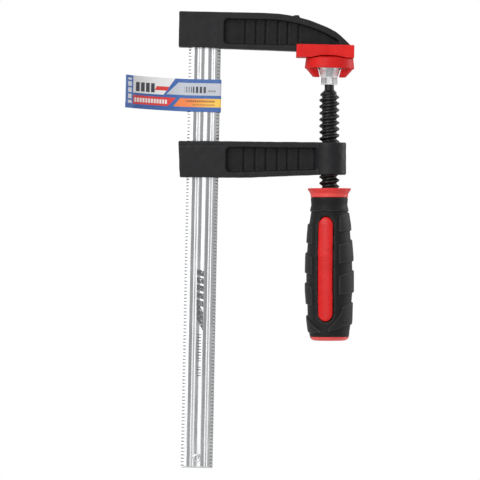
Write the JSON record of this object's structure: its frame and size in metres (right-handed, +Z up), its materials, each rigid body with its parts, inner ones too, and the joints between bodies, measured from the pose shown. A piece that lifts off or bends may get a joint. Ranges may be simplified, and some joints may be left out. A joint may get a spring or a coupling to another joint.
{
  "type": "f clamp",
  "caption": "Bar clamp with a fixed arm, a riding arm on a serrated flat bar, a screw with a swivel pad and a two-material handle.",
  "frame": {"origin": "where the screw's axis meets the plane of the fixed jaw's face, the plane from which the opening is measured", "axes": "+Z up along the bar towards the fixed arm, +X from the bar out to the screw, -Y is the printed side of the label"},
  "size_m": [0.1091, 0.0324, 0.2141],
  "materials": {
    "bar_steel": "satin",
    "pin_steel": "satin",
    "black_casting": "satin",
    "red_cap": "satin",
    "black_screw": "satin",
    "pad_zinc": "satin",
    "red_core": "satin",
    "black_grip": "matte",
    "printed_card": "satin"
  },
  "bodies": {
    "frame": {"bar": "bar_steel", "stop_pin": "pin_steel", "fixed_arm": "black_casting", "fixed_jaw_cap": "red_cap"},
    "riding_arm": {"sliding_arm": "black_casting"},
    "pad": {"pressure_pad": "pad_zinc", "pad_cap": "red_cap"},
    "screw": {"spindle": "black_screw", "handle_core": "red_core", "handle_grip": "black_grip"},
    "label": {"card_label": "printed_card"}
  },
  "joints": [
    {"name": "arm_slide", "type": "slide", "parent": "frame", "child": "riding_arm", "axis": [0, 0, -1], "range_m": [0, 0.129]},
    {"name": "pad_advance", "type": "slide", "parent": "riding_arm", "child": "pad", "axis": [0.0201, 0, -0.9998], "range_m": [0, 0.025]},
    {"name": "spindle_turn", "type": "hinge", "parent": "pad", "child": "screw", "pos_m": [0.00016, 0, -0.008], "axis": [0.0201, 0, -0.9998], "range_deg": [0, 3008]},
    {"name": "label_slide", "type": "slide", "parent": "frame", "child": "label", "axis": [0, 0, 1], "range_m": [-0.012, 0.014]}
  ],
  "couplings": [
    {"joint": "spindle_turn", "follows": "pad_advance", "rad_per_m": 2094.4}
  ]
}
